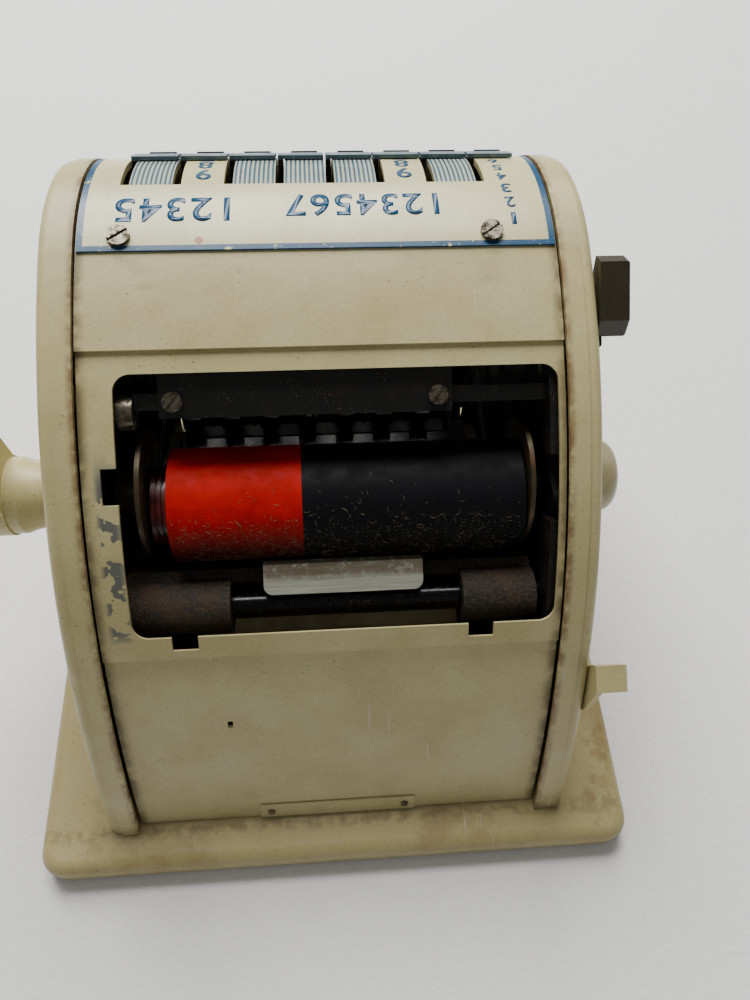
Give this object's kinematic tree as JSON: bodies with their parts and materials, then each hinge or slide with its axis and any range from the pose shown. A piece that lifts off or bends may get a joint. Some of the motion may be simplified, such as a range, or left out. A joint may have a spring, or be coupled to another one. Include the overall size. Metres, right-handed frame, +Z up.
{
  "type": "cheque writer",
  "caption": "Lever-set desktop cheque writer with arched body, index plate, open ink-roll cavity, pull handle and side keys.",
  "frame": {"origin": "centre of the rubber pad's underside, on the table", "axes": "+Z up, -Y towards the operator at the front, +X to the operator's right, the handle's side"},
  "size_m": [0.2358, 0.25, 0.1968],
  "materials": {
    "cream_paint": "aged cream enamel, scuffed and dusty",
    "base_paint": "yellowed cream enamel",
    "index_enamel": "cream plate with a blue border",
    "frame_steel": "oily dark steel",
    "screw_steel": "tarnished steel",
    "shaft_steel": "ground steel, oiled",
    "pad_rubber": "matt black",
    "ink_red": "inked red sleeve",
    "ink_black": "inked black sleeve",
    "core_red": "ink stained hub",
    "disc_steel": "rusted thin steel",
    "rocker_iron": "rough casting, rust brown",
    "tab_alloy": "dull light alloy",
    "lever_blue": "grey-blue enamel, rubbed",
    "type_metal": "ink-stained type metal",
    "grip_cream": "moulded cream",
    "paddle_olive": "dark olive moulding"
  },
  "bodies": {
    "housing": {"base": "base_paint", "bottom_plate": "frame_steel", "base_pad": "pad_rubber", "base_screws": "screw_steel", "left_side_frame": "frame_steel", "right_side_frame": "frame_steel", "tie_rods": "shaft_steel", "lever_shaft": "shaft_steel", "ink_bearing": "frame_steel", "right_side_cover": "cream_paint", "left_side_cover": "cream_paint", "cover_screws": "screw_steel", "top_cover": "cream_paint", "index_plate": "index_enamel", "index_plate_screws": "screw_steel", "window_panel": "cream_paint", "lower_panel": "cream_paint", "nameplate": "cream_paint", "nameplate_rivets": "screw_steel", "front_apron": "cream_paint", "cheque_table": "shaft_steel", "comb_bar": "frame_steel", "comb_guide_plate": "frame_steel", "cavity_screws": "screw_steel", "detent_wires": "shaft_steel", "side_pivot_screws": "screw_steel"},
    "ink_carrier": {"ink_disc_right": "disc_steel", "ink_disc_left": "disc_steel", "ink_spindle": "shaft_steel", "ink_knob": "grip_cream"},
    "ink_roll": {"ink_roll_core": "core_red", "ink_sleeve_red": "ink_red", "ink_sleeve_black": "ink_black"},
    "rocker": {"rocker_rod": "shaft_steel", "rocker_casting": "rocker_iron", "platen_bar": "pad_rubber", "lift_tab": "tab_alloy", "rocker_crank": "frame_steel"},
    "handle": {"handle_hub": "cream_paint", "handle_arm": "cream_paint", "handle_grip": "grip_cream", "handle_crank": "frame_steel"},
    "repeat_key": {"repeat_lever": "frame_steel", "repeat_paddle": "paddle_olive"},
    "release_key": {"release_lever": "cream_paint"},
    "lever_1": {"setting_lever_1": "lever_blue", "type_sector_1": "type_metal"},
    "lever_2": {"setting_lever_2": "lever_blue", "type_sector_2": "type_metal"},
    "lever_3": {"setting_lever_3": "lever_blue", "type_sector_3": "type_metal"},
    "lever_4": {"setting_lever_4": "lever_blue", "type_sector_4": "type_metal"},
    "lever_5": {"setting_lever_5": "lever_blue", "type_sector_5": "type_metal"},
    "lever_6": {"setting_lever_6": "lever_blue", "type_sector_6": "type_metal"},
    "lever_7": {"setting_lever_7": "lever_blue", "type_sector_7": "type_metal"},
    "lock": {"lock_lever": "lever_blue"}
  },
  "joints": [
    {"name": "setting_1", "type": "hinge", "parent": "housing", "child": "lever_1", "pos_m": [0.0599, -0.0437, 0.1048], "axis": [1, 0, 0], "range_deg": [0, 71]},
    {"name": "setting_2", "type": "hinge", "parent": "housing", "child": "lever_2", "pos_m": [0.0439, -0.0437, 0.1048], "axis": [1, 0, 0], "range_deg": [0, 71]},
    {"name": "setting_3", "type": "hinge", "parent": "housing", "child": "lever_3", "pos_m": [0.0279, -0.0437, 0.1048], "axis": [1, 0, 0], "range_deg": [0, 71]},
    {"name": "setting_4", "type": "hinge", "parent": "housing", "child": "lever_4", "pos_m": [0.0119, -0.0437, 0.1048], "axis": [1, 0, 0], "range_deg": [0, 71]},
    {"name": "setting_5", "type": "hinge", "parent": "housing", "child": "lever_5", "pos_m": [-0.0041, -0.0437, 0.1048], "axis": [1, 0, 0], "range_deg": [0, 71]},
    {"name": "setting_6", "type": "hinge", "parent": "housing", "child": "lever_6", "pos_m": [-0.0201, -0.0437, 0.1048], "axis": [1, 0, 0], "range_deg": [0, 71]},
    {"name": "setting_7", "type": "hinge", "parent": "housing", "child": "lever_7", "pos_m": [-0.0361, -0.0437, 0.1048], "axis": [1, 0, 0], "range_deg": [0, 71]},
    {"name": "lock_swing", "type": "hinge", "parent": "housing", "child": "lock", "pos_m": [-0.0521, -0.0437, 0.1048], "axis": [1, 0, 0], "range_deg": [0, 30]},
    {"name": "ink_adjust", "type": "hinge", "parent": "housing", "child": "ink_carrier", "pos_m": [0, 0.0234, 0.1062], "axis": [1, 0, 0], "range_deg": [-60, 0]},
    {"name": "ink_roll_spin", "type": "hinge", "parent": "ink_carrier", "child": "ink_roll", "pos_m": [0, 0.0267, 0.102], "axis": [1, 0, 0], "continuous": true},
    {"name": "handle_pull", "type": "hinge", "parent": "housing", "child": "handle", "pos_m": [0.09, 0.014, 0.092], "axis": [1, 0, 0], "range_deg": [0, 60], "stiffness_Nm_per_rad": 0.15, "springref_deg": -28.65},
    {"name": "rocker_lift", "type": "hinge", "parent": "housing", "child": "rocker", "pos_m": [0, 0.0564, 0.0865], "axis": [-1, 0, 0], "range_deg": [0, 2.4]},
    {"name": "repeat_swing", "type": "hinge", "parent": "housing", "child": "repeat_key", "pos_m": [-0.085, -0.022, 0.112], "axis": [1, 0, 0], "range_deg": [0, 22]},
    {"name": "release_swing", "type": "hinge", "parent": "housing", "child": "release_key", "pos_m": [-0.085, 0.078, 0.046], "axis": [1, 0, 0], "range_deg": [0, 18], "stiffness_Nm_per_rad": 0.02, "springref_deg": -22.92}
  ],
  "couplings": [
    {"joint": "rocker_lift", "follows": "handle_pull", "ratio": 0.04}
  ]
}
